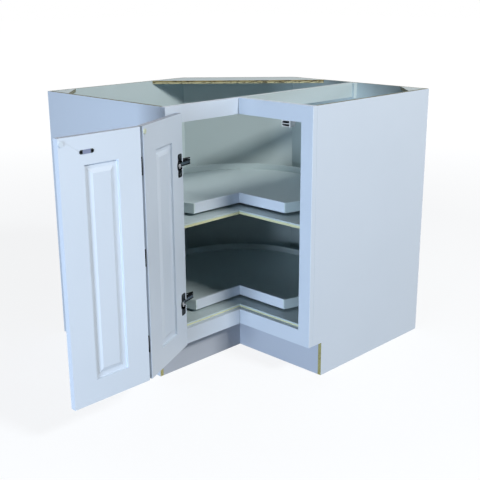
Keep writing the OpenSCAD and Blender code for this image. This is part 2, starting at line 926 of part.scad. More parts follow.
module at_fold_hinges() {
    for (z = fold_heights) translate([0, 0, z - fold_hinge_h / 2]) children();
}

module fold_hinge_leaves_hinged_side() {
    third = fold_hinge_h / 3;
    color(dark_steel) hinged_leaf() at_fold_hinges() {
        fold_plate();
        fold_knuckle(0, third, 0);
        fold_knuckle(2 * third, fold_hinge_h, 0);
    }
}

module fold_hinge_leaves_folding_side() {
    third = fold_hinge_h / 3;
    color(dark_steel) folding_leaf() at_fold_hinges() {
        fold_plate();
        fold_knuckle(third + free_gap, 2 * third - free_gap, running_gap);
    }
}

module fold_hinge_pins() {
    color(bright_steel) hinged_leaf() at_fold_hinges()
        translate([-fold_edge_gap, -leaf_t - fold_pin_proud, 0])
            cylinder(r = fold_pin_r, h = fold_hinge_h);
}

// ---- Strike plate and bumpers

module at_strike_screws() {
    for (side = [-1, 1])
        translate([catch_at + side * strike_hole_at, 0, strike_z]) rotate([-90, 0, 0]) children();
}

module strike_plate() {
    color(steel) folding_leaf() difference() {
        board([catch_at - strike_w / 2, 0, strike_z - strike_h / 2],
              [catch_at + strike_w / 2, strike_t, strike_z + strike_h / 2]);
        at_strike_screws() translate([0, 0, -cut]) cylinder(r = screw_r, h = strike_t + 2 * cut);
    }
}

module strike_screws() {
    color(dark_steel) folding_leaf() at_strike_screws() {
        translate([0, 0, strike_t]) cylinder(r = screw_head_r, h = screw_head_h / 2);
        translate([0, 0, -screw_l]) cylinder(r = screw_r, h = screw_l + strike_t);
    }
}

module bumper(x) {
    translate([x, 0, leaf_h - bumper_r - bumper_down]) rotate([-90, 0, 0])
        cylinder(r = bumper_r, h = bumper_t);
}

module hinged_leaf_bumper() {
    color(clear_pad) hinged_leaf() bumper(bumper_r + bumper_in);
}

module folding_leaf_bumper() {
    color(clear_pad) folding_leaf() bumper(leaf_w - bumper_r - bumper_in);
}

left_end_panel();
right_end_panel();
left_back_panel();
right_back_panel();
diagonal_back_panel();
cabinet_floor();
fixed_shelf();
left_outer_stile();
right_outer_stile();
left_top_rail();
right_top_rail();
left_bottom_rail();
right_bottom_rail();
left_toe_board();
right_toe_board();
corner_brace();
corner_gussets();
top_stretcher();
stretcher_cleat();
floor_cleats();
shelf_cleats();
hinge_arms();
hinge_mount_plates();
hinge_plate_screws();
catch_body();
catch_magnet();
catch_poles();
upper_bearing_base();
lower_bearing_base();
bearing_balls();
bearing_screws();
hinged_leaf_hinge_stile();
hinged_leaf_fold_stile();
hinged_leaf_top_rail();
hinged_leaf_bottom_rail();
hinged_leaf_panel();
hinge_cups();
hinge_pins();
cup_screws();
fold_hinge_leaves_hinged_side();
fold_hinge_pins();
hinged_leaf_bumper();
folding_leaf_free_stile();
folding_leaf_fold_stile();
folding_leaf_top_rail();
folding_leaf_bottom_rail();
folding_leaf_panel();
fold_hinge_leaves_folding_side();
strike_plate();
strike_screws();
folding_leaf_bumper();
upper_tray_board();
upper_tray_notch_boards();
upper_tray_rim();
upper_bearing_top();
lower_tray_board();
lower_tray_notch_boards();
lower_tray_rim();
lower_bearing_top();
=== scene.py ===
import json
import math

import bmesh
import bpy
from mathutils import Matrix, Vector


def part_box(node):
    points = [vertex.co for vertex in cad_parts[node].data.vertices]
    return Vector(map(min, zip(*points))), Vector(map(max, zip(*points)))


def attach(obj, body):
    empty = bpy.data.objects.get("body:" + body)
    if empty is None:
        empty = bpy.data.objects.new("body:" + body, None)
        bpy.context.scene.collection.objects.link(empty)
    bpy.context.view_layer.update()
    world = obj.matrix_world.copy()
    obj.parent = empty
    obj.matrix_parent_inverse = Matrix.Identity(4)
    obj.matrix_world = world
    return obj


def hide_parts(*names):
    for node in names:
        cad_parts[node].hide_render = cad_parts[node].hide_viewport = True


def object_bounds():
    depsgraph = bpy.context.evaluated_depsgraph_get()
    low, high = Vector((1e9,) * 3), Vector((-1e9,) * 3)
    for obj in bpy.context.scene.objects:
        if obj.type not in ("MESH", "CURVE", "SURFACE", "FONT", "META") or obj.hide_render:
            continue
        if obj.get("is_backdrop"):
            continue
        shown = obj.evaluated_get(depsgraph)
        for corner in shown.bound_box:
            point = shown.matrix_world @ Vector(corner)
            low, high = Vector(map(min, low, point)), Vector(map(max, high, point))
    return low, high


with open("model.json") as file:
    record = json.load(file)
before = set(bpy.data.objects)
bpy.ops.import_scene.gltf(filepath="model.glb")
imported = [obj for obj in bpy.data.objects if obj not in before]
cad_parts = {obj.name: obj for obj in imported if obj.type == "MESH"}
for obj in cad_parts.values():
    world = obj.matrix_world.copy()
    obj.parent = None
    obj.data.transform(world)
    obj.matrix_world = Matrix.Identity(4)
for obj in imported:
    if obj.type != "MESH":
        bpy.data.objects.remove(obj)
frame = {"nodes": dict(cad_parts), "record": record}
cadLow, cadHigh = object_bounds()
record = frame["record"]
bodyOf = {node: body for body, nodes in record["behaviour"]["bodies"].items() for node in nodes}
slotOf = {part["node"]: part["material_slot"] for part in record["subparts"]}
axisOf = {joint["name"]: joint["pos_m"] for joint in record["behaviour"]["joints"]}
print("frame loaded:", len(frame["nodes"]), "nodes")


# solved from the corners of the cabinet's outline in the photo
cameraView = {
    "place": (2.4852, -2.4987, 1.2018),
    "right": (0.71116, 0.70301, -0.00586),
    "up": (-0.1966, 0.2069, 0.9584),
    "lens": 63.07,  # mm
    "sensor": 36,  # mm
    "nearest": 0.05,  # metres
}


def addCamera():
    right = Vector(cameraView["right"]).normalized()
    up = Vector(cameraView["up"])
    up = (up - up.dot(right) * right).normalized()
    back = right.cross(up)
    data = bpy.data.cameras.new("photoCamera")
    data.sensor_width = cameraView["sensor"]
    data.lens = cameraView["lens"]
    data.clip_start = cameraView["nearest"]
    camera = bpy.data.objects.new("photoCamera", data)
    bpy.context.scene.collection.objects.link(camera)
    turned = Matrix((right, up, back)).transposed().to_4x4()
    camera.matrix_world = Matrix.Translation(cameraView["place"]) @ turned
    bpy.context.scene.camera = camera


def linear(code):
    # an sRGB hex colour as the linear values that the shaders take
    parts = [int(code[at : at + 2], 16) / 255 for at in (1, 3, 5)]
    return [part / 12.92 if part <= 0.04045 else ((part + 0.055) / 1.055) ** 2.4 for part in parts] + [1.0]


def add(tree, kind, settings=None, links=None):
    # one node, with its sockets or settings given by name or number, and its links; a colour mix takes
    # its factor at 0 and its two colours at 6 and 7, and gives the result at 2
    node = tree.nodes.new(kind)
    for key, value in (settings or {}).items():
        if isinstance(key, int) or key in node.inputs:
            node.inputs[key].default_value = value
        else:
            setattr(node, key, value)
    for key, source in (links or {}).items():
        tree.links.new(source, node.inputs[key])
    return node


def newMaterial(name, shaderSettings):
    finish = bpy.data.materials.new(name)
    finish.use_nodes = True
    tree = finish.node_tree
    tree.nodes.clear()
    shader = add(tree, "ShaderNodeBsdfPrincipled", shaderSettings)
    add(tree, "ShaderNodeOutputMaterial", links={"Surface": shader.outputs["BSDF"]})
    place = add(tree, "ShaderNodeTexCoord")
    return finish, tree, shader, place


paint = {
    # for each side: the full film, and the thinner film with handling marks
    "outside": ("#CBD6E2", "#C4D0DD"),  # cool white
    "inside": ("#BDCCCF", "#B4C4C7"),  # the box is lined in a greener white, drawn darker than the outside as painted shade inside the box
    "tray": ("#C3D2D5", "#BACACD"),
    "toe": ("#A8AEB7", "#A0A6AF"),  # the recessed toe boards have one thin grey-white coat, drawn darker than the outside paint as painted shade under the overhang; this left board's copy is darker still, painted shade
    # the right toe board's copy of the same coat, lighter: painted light on it
    "toeRightLit": ("#B6C0CE", "#AEB8C6"),
    "edge": ("#8E98A9", "#8690A1"),  # the door leaves' top and bottom edges, painted darker: painted shade along them
    "seam": ("#7F8C98", "#778490"),  # painted shade in the open joint between the two halves of the face frame, where the paint is thin
    "rough": (0.36, 0.48),  # where the film is thin and where it is full
    "peelMm": 2.2,  # orange peel of a sprayed finish, drawn coarser than the real 1 mm so that it shows
    "cloudMm": 260,
    "grainMm": 5,  # the wood's grain telegraphs faintly through the paint
    "grainLongMm": 160,
    "peelRelief": (0.05, 0.0004),  # strength, and height in metres
    "grainRelief": (0.06, 0.0005),
}


def satinEnamel(name, along, side="outside"):
    # Sprayed satin enamel on a cabinet board: a soft sheen, slight orange peel and a faint ghost of grain
    # that runs along one axis
    finish, tree, shader, place = newMaterial(name, {"IOR": 1.5})
    cloud = add(
        tree,
        "ShaderNodeTexNoise",
        {"Scale": 1000 / paint["cloudMm"], "Detail": 3.0, "Roughness": 0.55},
        {"Vector": place.outputs["Object"]},
    )
    stretch = [1000 / paint["grainMm"]] * 3
    stretch[along] = 1000 / paint["grainLongMm"]
    turned = add(tree, "ShaderNodeMapping", {"Scale": stretch}, {"Vector": place.outputs["Object"]})
    grain = add(
        tree,
        "ShaderNodeTexNoise",
        {"Scale": 1.0, "Detail": 2.0},
        {"Vector": turned.outputs["Vector"]},
    )
    peel = add(
        tree,
        "ShaderNodeTexNoise",
        {"Scale": 1000 / paint["peelMm"], "Detail": 1.0},
        {"Vector": place.outputs["Object"]},
    )
    colour = add(
        tree,
        "ShaderNodeMix",
        {"data_type": "RGBA", 6: linear(paint[side][1]), 7: linear(paint[side][0])},
        {0: cloud.outputs["Fac"]},
    )
    tree.links.new(colour.outputs[2], shader.inputs["Base Color"])
    gloss = add(
        tree,
        "ShaderNodeMapRange",
        {"From Min": 0.3, "From Max": 0.7, "To Min": paint["rough"][0], "To Max": paint["rough"][1]},
        {"Value": cloud.outputs["Fac"]},
    )
    tree.links.new(gloss.outputs["Result"], shader.inputs["Roughness"])
    strength, height = paint["peelRelief"]
    relief = add(
        tree,
        "ShaderNodeBump",
        {"Strength": strength, "Distance": height},
        {"Height": peel.outputs["Fac"]},
    )
    strength, height = paint["grainRelief"]
    relief = add(
        tree,
        "ShaderNodeBump",
        {"Strength": strength, "Distance": height},
        {"Height": grain.outputs["Fac"], "Normal": relief.outputs["Normal"]},
    )
    tree.links.new(relief.outputs["Normal"], shader.inputs["Normal"])
    return finish


plywood = {
    # for each kind of edge: pale ply, dark ply, chips and glue
    "rough": ("#D8D5AE", "#918250", "#251C0D"),  # the brace and the cleats, as sawn
    "notch": ("#B3AE74", "#8F8A5C", "#5A5238"),  # the end panels' toe notches
    "dull": ("#8F917F", "#6F6E5C", "#3F3B30"),  # the end panels' top edges and the gussets' edges, greyer and darker than clean ply; on the gussets that darkness is painted shade
    "clean": ("#D3D6B4", "#BFC597", "#A5A478"),  # a sanded edge that shows at the front of the decks
    "plyMm": {"rough": 6.0, "notch": 2.4, "dull": 2.4, "clean": 2.4},  # the brace is a three-ply board
    "plyShift": {"rough": 1.41, "notch": 0.0, "dull": 0.0, "clean": 0.0},  # pale plies outermost
    "chipMm": {"rough": (5.0, 22), "notch": (3, 9), "dull": (4, 12), "clean": (4, 12)},  # across, along
    "chipFrom": {"rough": 0.5, "notch": 0.55, "dull": 0.55, "clean": 0.58},  # higher leaves fewer chips
    "chipFade": 0.1,
    "chipDepth": 0.85,  # how far a chip takes its own colour
    "relief": (0.4, 0.001),
    "bandScale": math.pi * 1000 / 20,  # a wave texture of this scale has bands 1 mm wide
}


def birchPlywoodEdge(name, layers, tones="rough"):
    # Sawn birch plywood edge: pale and dark plies in turn, rough fibres, dark pores and chips; the plies
    # lie over each other along one axis
    finish, tree, shader, place = newMaterial(name, {"Roughness": 0.78})
    wave = add(
        tree,
        "ShaderNodeTexWave",
        {
            "wave_type": "BANDS",
            "bands_direction": "XYZ"[layers],
            "Scale": plywood["bandScale"] / plywood["plyMm"][tones],
            "Distortion": 0.6,
            "Detail": 2.0,
            "Detail Scale": 2.0,
            "Phase Offset": plywood["plyShift"][tones],
        },
        {"Vector": place.outputs["Object"]},
    )
    across, along = plywood["chipMm"][tones]
    stretch = [1000 / along] * 3
    stretch[layers] = 1000 / across
    drawn = add(tree, "ShaderNodeMapping", {"Scale": stretch}, {"Vector": place.outputs["Object"]})
    chips = add(
        tree,
        "ShaderNodeTexNoise",
        {"Scale": 1.0, "Detail": 4.0, "Roughness": 0.7},
        {"Vector": drawn.outputs["Vector"]},
    )
    plies = add(
        tree,
        "ShaderNodeMix",
        {"data_type": "RGBA", 6: linear(plywood[tones][1]), 7: linear(plywood[tones][0])},
        {0: wave.outputs["Fac"]},
    )
    chipMask = add(
        tree,
        "ShaderNodeMapRange",
        {
            "From Min": plywood["chipFrom"][tones],
            "From Max": plywood["chipFrom"][tones] + plywood["chipFade"],
            "To Min": 0.0,
            "To Max": plywood["chipDepth"],
        },
        {"Value": chips.outputs["Fac"]},
    )
    colour = add(
        tree,
        "ShaderNodeMix",
        {"data_type": "RGBA", 7: linear(plywood[tones][2])},
        {0: chipMask.outputs["Result"], 6: plies.outputs[2]},
    )
    tree.links.new(colour.outputs[2], shader.inputs["Base Color"])
    strength, height = plywood["relief"]
    relief = add(
        tree,
        "ShaderNodeBump",
        {"Strength": strength, "Distance": height},
        {"Height": chips.outputs["Fac"]},
    )
    tree.links.new(relief.outputs["Normal"], shader.inputs["Normal"])
    return finish


metals = {
    "nickelPlatedSteel": {"colour": "#8E9399", "rough": 0.28, "brushMm": 1.2},  # mid grey, softly mirrored
    "blackenedSteel": {"colour": "#131417", "rough": 0.42, "brushMm": 2.0},  # near black and dull
    "gunmetalSteel": {"colour": "#4B5356", "rough": 0.34, "brushMm": 1.5},  # dark grey with a satin sheen
    "zincPlatedSteel": {"colour": "#7E88A3", "rough": 0.38, "brushMm": 1.2},  # blue passivated, satin
    "brightSteel": {"colour": "#C4C8CC", "rough": 0.2, "brushMm": 0.8},  # ground, almost a mirror
}
plating = {
    "smudgeMm": 14,
    "dull": 0.8,  # how much darker the smudges get
    "roughBy": (-0.08, 0.12),  # from the clean metal's roughness to the smudges'
    "relief": (0.08, 0.0003),
}


def plainMetal(name):
    # Plated pressed steel: a smooth sheen with fine rolling streaks and a few smudges
    values = metals[name]
    finish, tree, shader, place = newMaterial(name, {"Metallic": 1.0})
    smudge = add(
        tree,
        "ShaderNodeTexNoise",
        {"Scale": 1000 / plating["smudgeMm"], "Detail": 3.0},
        {"Vector": place.outputs["Object"]},
    )
    streaks = add(
        tree,
        "ShaderNodeTexNoise",
        {"Scale": 1000 / values["brushMm"], "Detail": 2.0},
        {"Vector": place.outputs["Object"]},
    )
    base = linear(values["colour"])
    dull = [part * plating["dull"] for part in base[:3]] + [1.0]
    colour = add(
        tree, "ShaderNodeMix", {"data_type": "RGBA", 6: dull, 7: base}, {0: smudge.outputs["Fac"]}
    )
    tree.links.new(colour.outputs[2], shader.inputs["Base Color"])
    lower, higher = plating["roughBy"]
    gloss = add(
        tree,
        "ShaderNodeMapRange",
        {"To Min": values["rough"] + lower, "To Max": values["rough"] + higher},
        {"Value": smudge.outputs["Fac"]},
    )
    tree.links.new(gloss.outputs["Result"], shader.inputs["Roughness"])
    strength, height = plating["relief"]
    relief = add(
        tree,
        "ShaderNodeBump",
        {"Strength": strength, "Distance": height},
        {"Height": streaks.outputs["Fac"]},
    )
    tree.links.new(relief.outputs["Normal"], shader.inputs["Normal"])
    return finish


mouldings = {
    # glow is the share of light that passes through
    "whiteNylon": {"colour": "#DDDFDD", "rough": 0.45, "grainMm": 0.9, "glow": 0.0},  # chalky white
    "paleNylonGlint": {"colour": "#D5D9DE", "rough": 0.4, "grainMm": 0.8, "glow": 0.0},  # pale grey, a soft sheen; drawn this pale as a painted highlight, the glint in the hinge cups
    "clearPolyurethane": {"colour": "#D0DCE6", "rough": 0.3, "grainMm": 2.0, "glow": 0.08},  # a milky drop
    "agedPolyurethane": {"colour": "#D3DAC0", "rough": 0.3, "grainMm": 2.0, "glow": 0.08},  # gone yellow
    "dull": 0.88,  # how much darker the grain's hollows are
    "relief": (0.1, 0.0003),
}


def moulded(name):
    # A small moulded part: an even colour with fine spark-eroded grain
    values = mouldings[name]
    finish, tree, shader, place = newMaterial(
        name,
        {"Roughness": values["rough"], "Transmission Weight": values["glow"], "IOR": 1.49},
    )
    grain = add(
        tree,
        "ShaderNodeTexNoise",
        {"Scale": 1000 / values["grainMm"], "Detail": 2.0},
        {"Vector": place.outputs["Object"]},
    )
    base = linear(values["colour"])
    dull = [part * mouldings["dull"] for part in base[:3]] + [1.0]
    colour = add(
        tree, "ShaderNodeMix", {"data_type": "RGBA", 6: dull, 7: base}, {0: grain.outputs["Fac"]}
    )
    tree.links.new(colour.outputs[2], shader.inputs["Base Color"])
    strength, height = mouldings["relief"]
    relief = add(
        tree,
        "ShaderNodeBump",
        {"Strength": strength, "Distance": height},
        {"Height": grain.outputs["Fac"]},
    )
    tree.links.new(relief.outputs["Normal"], shader.inputs["Normal"])
    return finish


enamelUpright = satinEnamel("satinEnamelUpright", 2)
enamelAlongX = satinEnamel("satinEnamelAlongX", 0)
# the lining's darker colour is painted shade inside the box
shadedLiningUpright = satinEnamel("satinShadedLiningUpright", 2, "inside")
shadedLiningFlat = satinEnamel("satinShadedLiningFlat", 0, "inside")
trayFlat = satinEnamel("satinTray", 0, "tray")
toeLitAlongX = satinEnamel("thinCoatLitAlongX", 0, "toeRightLit")
toeShadedAlongY = satinEnamel("thinCoatShadedAlongY", 1, "toe")
leafEdgeShade = satinEnamel("leafEdgeShadeCoat", 1, "edge")
seamShade = satinEnamel("shadedJoint", 2, "seam")
plyEdgeZ = birchPlywoodEdge("birchPlywoodEdgeZ", 2)
dullEdgeX = birchPlywoodEdge("greyPlywoodEdgeX", 0, "dull")
dullEdgeY = birchPlywoodEdge("greyPlywoodEdgeY", 1, "dull")
notchEdge = birchPlywoodEdge("sawnPlywoodEdge", 2, "notch")
dullEdgeZ = birchPlywoodEdge("greyPlywoodEdgeZ", 2, "dull")
veneerEdge = birchPlywoodEdge("sandedPlywoodEdge", 2, "clean")
nickel = plainMetal("nickelPlatedSteel")
blackSteel = plainMetal("blackenedSteel")
gunmetal = plainMetal("gunmetalSteel")
zinc = plainMetal("zincPlatedSteel")
brightSteel = plainMetal("brightSteel")
nylon = moulded("whiteNylon")
paleNylonGlint = moulded("paleNylonGlint")
clearPad = moulded("clearPolyurethane")
agedPad = moulded("agedPolyurethane")
print("finishes ready")


# angles in degrees, lengths in metres
limits = {
    "merge": 2e-6,
    "flat": 0.5,  # faces that meet at less are joined into one
    "sharp": 32,  # edges from here on get an arris
    "smooth": 15,  # faces that meet at less are shaded as one
    "cut": 1e-7,
    "facing": 0.9,  # how nearly a face's normal points a way to count as facing it
    "square": 0.98,  # below this a face is oblique, as an arris is
    "order": (1, 0.3, 0.07),  # cuts and bevels leave faces in no fixed order, so they are sorted this way
}


def mergedCopy(node):
    # a CAD node's own shape as clean faces, ready for its edges to be eased
    bm = bmesh.new()
    bm.from_mesh(frame["nodes"][node].data)
    bmesh.ops.remove_doubles(bm, verts=bm.verts, dist=limits["merge"])
    bmesh.ops.dissolve_limit(bm, angle_limit=math.radians(limits["flat"]), verts=bm.verts, edges=bm.edges)
    return bm


def cutAcross(bm, place, way):
    everything = list(bm.verts) + list(bm.edges) + list(bm.faces)
    bmesh.ops.bisect_plane(bm, geom=everything, dist=limits["cut"], plane_co=place, plane_no=way)


def facing(face, way):
    return face.normal.dot(Vector(way).normalized()) > limits["facing"]


def isLevel(face):
    return abs(face.normal.z) > limits["facing"]


def easeEdges(bm, width, segments=2, which=None):
    # rounds the sharp edges by a small arris; which may limit it to some of them
    sharp = math.radians(limits["sharp"])
    edges = [edge for edge in bm.edges if edge.is_manifold and edge.calc_face_angle() > sharp]
    if which:
        edges = [edge for edge in edges if which(edge)]
    if edges:
        bmesh.ops.bevel(
            bm,
            geom=edges,
            offset=width,
            offset_type="OFFSET",
            segments=segments,
            profile=0.5,
            affect="EDGES",
            clamp_overlap=True,
            material=-1,
        )


def addPiece(name, bm, finishes, body, slot, nodes=()):
    # a finished piece on its body, in place of the nodes it names
    order = Vector(limits["order"])
    bm.faces.sort(key=lambda face: face.calc_center_median().dot(order))
    mesh = bpy.data.meshes.new(name)
    bm.to_mesh(mesh)
    bm.free()
    mesh.polygons.foreach_set("use_smooth", [True] * len(mesh.polygons))
    mesh.set_sharp_from_angle(angle=math.radians(limits["smooth"]))
    for finish in finishes:
        mesh.materials.append(finish)
    piece = bpy.data.objects.new(name, mesh)
    bpy.context.scene.collection.objects.link(piece)
    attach(piece, body)
    if nodes:
        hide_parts(*nodes)


def dress(node, finishes, ease, pick=None, which=None, cuts=(), seam=False):
    # a node's own shape, cut level at some heights and with eased edges; pick gives each face the number
    # of its finish, and seam gives the last finish, which paints shade in a joint, to the eased faces
    bm = mergedCopy(node)
    for height in cuts:
        cutAcross(bm, (0, 0, height), (0, 0, 1))
    if pick:
        for face in bm.faces:
            face.material_index = pick(face)
    before = set(bm.faces)
    easeEdges(bm, ease, which=which)
    # the eased faces take the last finish: painted shade in the joint
    if seam:
        for face in set(bm.faces) - before:
            if max(abs(part) for part in face.normal) < limits["square"]:
                face.material_index = len(finishes) - 1
    addPiece(node + "_dressed", bm, finishes, bodyOf[node], slotOf[node], [node])


boards = {
    "ease": 0.0007,  # painted arris
    "sawnEase": 0.0003,  # sawn plywood keeps a crisp edge
    "panels": {  # for each: its edge finish, the way it faces inward, and the way its toe notch faces
        "left_end_panel": (dullEdgeY, (0, 1, 0), (1, 0, 0)),
        "right_end_panel": (dullEdgeX, (-1, 0, 0), (0, -1, 0)),
        "left_back_panel": (dullEdgeX, (1, 0, 0), (0, -1, 0)),
        "right_back_panel": (dullEdgeY, (0, -1, 0), (1, 0, 0)),
        "diagonal_back_panel": (dullEdgeX, (1, -1, 0), (1, 1, 0)),
    },
    "toeHeight": 0.115,
    "outerNear": 0.0005,  # how close an edge lies to a wing's outer side
    "innerCorner": (0.6096, -0.6096),
    "cornerNear": 0.0015,
    "decks": ["cabinet_floor", "fixed_shelf"],
    "paintedShare": 0.38,  # of a deck's front edge
    "sideEase": 0.0008,  # the outer stiles' arris and their joint with the end panels
    "cornerGap": 0.0016,  # eased edges where the two halves of the face frame meet
    "uprights": ["left_outer_stile", "right_outer_stile"],
    "alongX": ["right_top_rail", "right_bottom_rail"],
    "alongY": ["left_top_rail", "left_bottom_rail"],
    "sawn": ["floor_cleats", "shelf_cleats"],
}


def panelFaces(inward, forward):
    # a wall panel: sawn top and bottom edges and toe notch, a lined inner face, painted elsewhere
    def pick(face):
        if isLevel(face):
            return 1
        if facing(face, forward) and face.calc_center_median().z < boards["toeHeight"]:
            return 3
        return 2 if facing(face, inward) else 0

    return pick


def rawSides(face):
    return 0 if isLevel(face) else 1


def rawBelow(height):
    # a deck's front edge: paint runs over its upper part and leaves the lower plies bare
    def pick(face):
        return 1 if not isLevel(face) and face.calc_center_median().z < height else 0

    return pick


def outerSide(edge):
    # the upright edges on the outer side of either wing
    far = cadHigh[0] - boards["outerNear"]
    return all(vert.co.x > far or vert.co.y < -far for vert in edge.verts)


def innerCorner(edge):
    # the upright edges where the two halves of the face frame meet
    x, y = boards["innerCorner"]
    return all(abs(vert.co.x - x) + abs(vert.co.y - y) < boards["cornerNear"] for vert in edge.verts)


for node, (edge, inward, forward) in boards["panels"].items():
    dress(
        node,
        (enamelUpright, edge, shadedLiningUpright, notchEdge),
        boards["sawnEase"],
        panelFaces(inward, forward),
    )
for node in boards["decks"]:
    low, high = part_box(node)
    bare = high[2] - boards["paintedShare"] * (high[2] - low[2])
    dress(node, (shadedLiningFlat, veneerEdge), boards["sawnEase"], rawBelow(bare), cuts=[bare])
dress("corner_brace", (shadedLiningFlat, plyEdgeZ), boards["sawnEase"], rawSides)
# the gussets' edges take the dark grey ply tone: painted shade on them
dress("corner_gussets", (shadedLiningFlat, dullEdgeZ), boards["sawnEase"], rawSides)
# the cleat takes the paler tray paint, lighter than the lining round it: painted light
dress("stretcher_cleat", (trayFlat,), boards["sawnEase"])
for node in boards["uprights"]:
    dress(node, (enamelUpright,), boards["sideEase"], which=outerSide)
for node in boards["alongX"] + boards["alongY"]:
    dress(node, (enamelUpright, seamShade), boards["cornerGap"], which=innerCorner, seam=True)
dress("top_stretcher", (shadedLiningFlat,), boards["ease"])
# the two toe boards take lit and shaded copies of one coat: painted light and shade
dress("right_toe_board", (toeLitAlongX,), boards["ease"])
dress("left_toe_board", (toeShadedAlongY,), boards["ease"])
for node in boards["sawn"]:
    dress(node, (plyEdgeZ,), boards["sawnEase"])
print("carcass boards ready")


doors = {
    # places in metres; a leaf is drawn closed on the right wing, from its fold edge and its bottom
    "hinge": axisOf["door_hinge_swing"],  # the cup hinges' pins
    "fold": (0.6336, -0.6336),  # the fold hinges' pins, with the doors shut
    "start": (0.6351, -0.6126, 0.1243),  # the leaf's fold edge, back face and bottom
    "opened": -155,
    "folded": 65,
    "width": 0.257,
    "height": 0.733,
    "stile": 0.078,
    "topRail": 0.079,
    "bottomRail": 0.068,
    "tongue": 0.007,
    "tongueDepth": (0.0055, 0.0135),  # from the back face
    # each inset: how far in, how far out
    "backInsets": [(0.0052, 0), (0.0006, -0.0013), (0.0112, 0), (0.0125, 0.0045)],
    # the moulded slope of stiles and rails stands nearly upright: where it ends, and how far its foot moves
    "depths": (0.0055, 0.0135),
    "slopeFoot": 0.0027,
    "near": 0.0003,  # how close a corner lies to its place
    "endNear": 0.0005,
    "frontInsets": [(0.009, 0), (0.028, 0.004)],
}


def turnAbout(axis, degrees):
    place = Matrix.Translation((axis[0], axis[1], 0))
    return place @ Matrix.Rotation(math.radians(degrees), 4, "Z") @ place.inverted()


def leafMatrix(folding):
    # from a leaf's own drawing to where the open doors hold it; the hinged leaf is drawn as the other's
    # mirror image about the diagonal of the cabinet
    if folding:
        swung = turnAbout(doors["fold"], doors["folded"])
    else:
        swung = Matrix(((0, -1, 0, 0), (-1, 0, 0, 0), (0, 0, 1, 0), (0, 0, 0, 1)))
    return turnAbout(doors["hinge"], doors["opened"]) @ swung @ Matrix.Translation(doors["start"])


def leafPlace(bm, folding):
    bmesh.ops.transform(bm, matrix=leafMatrix(folding), verts=bm.verts)
    bmesh.ops.recalc_face_normals(bm, faces=bm.faces)


def frameMember(node, folding):
    # a stile or rail whose inner edge is nearly square, with its top and bottom edges in a darker coat that
    # paints shade on them
    bm = mergedCopy(node)
    bmesh.ops.transform(bm, matrix=leafMatrix(folding).inverted(), verts=bm.verts)
    foot = doors["slopeFoot"]
    corners = (
        (0, doors["stile"], -foot),
        (0, doors["width"] - doors["stile"], foot),
        (2, doors["bottomRail"], -foot),
        (2, doors["height"] - doors["topRail"], foot),
    )
    for vert in bm.verts:
        if any(abs(vert.co.y + depth) < doors["near"] for depth in doors["depths"]):
            for way, edge, move in corners:
                if abs(vert.co[way] - edge) < doors["near"]:
                    vert.co[way] = edge + move
    # the top and bottom faces take the darker coat: painted shade on the leaf's edges
    for face in bm.faces:
        height = face.calc_center_median().z
        if isLevel(face) and min(height, doors["height"] - height) < doors["endNear"]:
            face.material_index = 1
    leafPlace(bm, folding)
    addPiece(node + "_dressed", bm, (enamelUpright, leafEdgeShade), bodyOf[node], slotOf[node], [node])


def raisedPanel(node, folding):
    # a panel with a shadow groove round its raised field on the back, and a wide field in front
    near, far = doors["tongueDepth"]
    left = doors["stile"] - doors["tongue"]
    low = doors["bottomRail"] - doors["tongue"]
    right = doors["width"] - left
    high = doors["height"] - doors["topRail"] + doors["tongue"]
    bm = bmesh.new()
    bmesh.ops.create_cube(bm, size=1)
    bmesh.ops.scale(bm, vec=(right - left, far - near, high - low), verts=bm.verts)
    bmesh.ops.translate(bm, vec=((left + right) / 2, -(near + far) / 2, (low + high) / 2), verts=bm.verts)
    for side, insets in ((1, doors["backInsets"]), (-1, doors["frontInsets"])):
        field = [face for face in bm.faces if facing(face, (0, side, 0))]
        for inward, outward in insets:
            bmesh.ops.inset_individual(
                bm, faces=field, thickness=inward, depth=outward, use_even_offset=True
            )
    leafPlace(bm, folding)
    addPiece(node + "_dressed", bm, (enamelUpright,), bodyOf[node], slotOf[node], [node])


for leaf, freeStile in (("hinged_leaf_", "hinge_stile"), ("folding_leaf_", "free_stile")):
    for part in (freeStile, "fold_stile", "top_rail", "bottom_rail"):
        frameMember(leaf + part, leaf == "folding_leaf_")
    raisedPanel(leaf + "panel", leaf == "folding_leaf_")
print("door leaves ready")


trays = {"ease": 0.0008, "bearingEase": 0.0003}
for side in ("upper_", "lower_"):
    dress(side + "tray_board", (trayFlat,), trays["ease"])
    dress(side + "tray_notch_boards", (enamelAlongX,), trays["ease"])
    dress(side + "tray_rim", (trayFlat,), trays["ease"])
    dress(side + "bearing_top", (nickel,), trays["bearingEase"])
    dress(side + "bearing_base", (nickel,), trays["bearingEase"])
print("turntables ready")


hardware = {
    "hinge_mount_plates": nickel,
    "hinge_plate_screws": nickel,
    "catch_body": nylon,
    "catch_magnet": nylon,  # it lies behind the catch's white front
    "catch_poles": blackSteel,
    "bearing_balls": brightSteel,
    "bearing_screws": brightSteel,
    "hinge_cups": blackSteel,
    "hinge_pins": brightSteel,
    "fold_hinge_leaves_hinged_side": blackSteel,
    "fold_hinge_pins": blackSteel,
    "hinged_leaf_bumper": agedPad,
    "fold_hinge_leaves_folding_side": blackSteel,
    "strike_screws": blackSteel,
    "folding_leaf_bumper": clearPad,
}
hardwareEase = 0.0002
for node, finish in hardware.items():
    dress(node, (finish,), hardwareEase)

strike = {
    "endFrom": 0.012,  # from its middle
    "corner": 0.0034,  # how far its corners are clipped
    "through": 0.001,  # only edges through its thickness are longer than this
    "near": 0.0001,
}


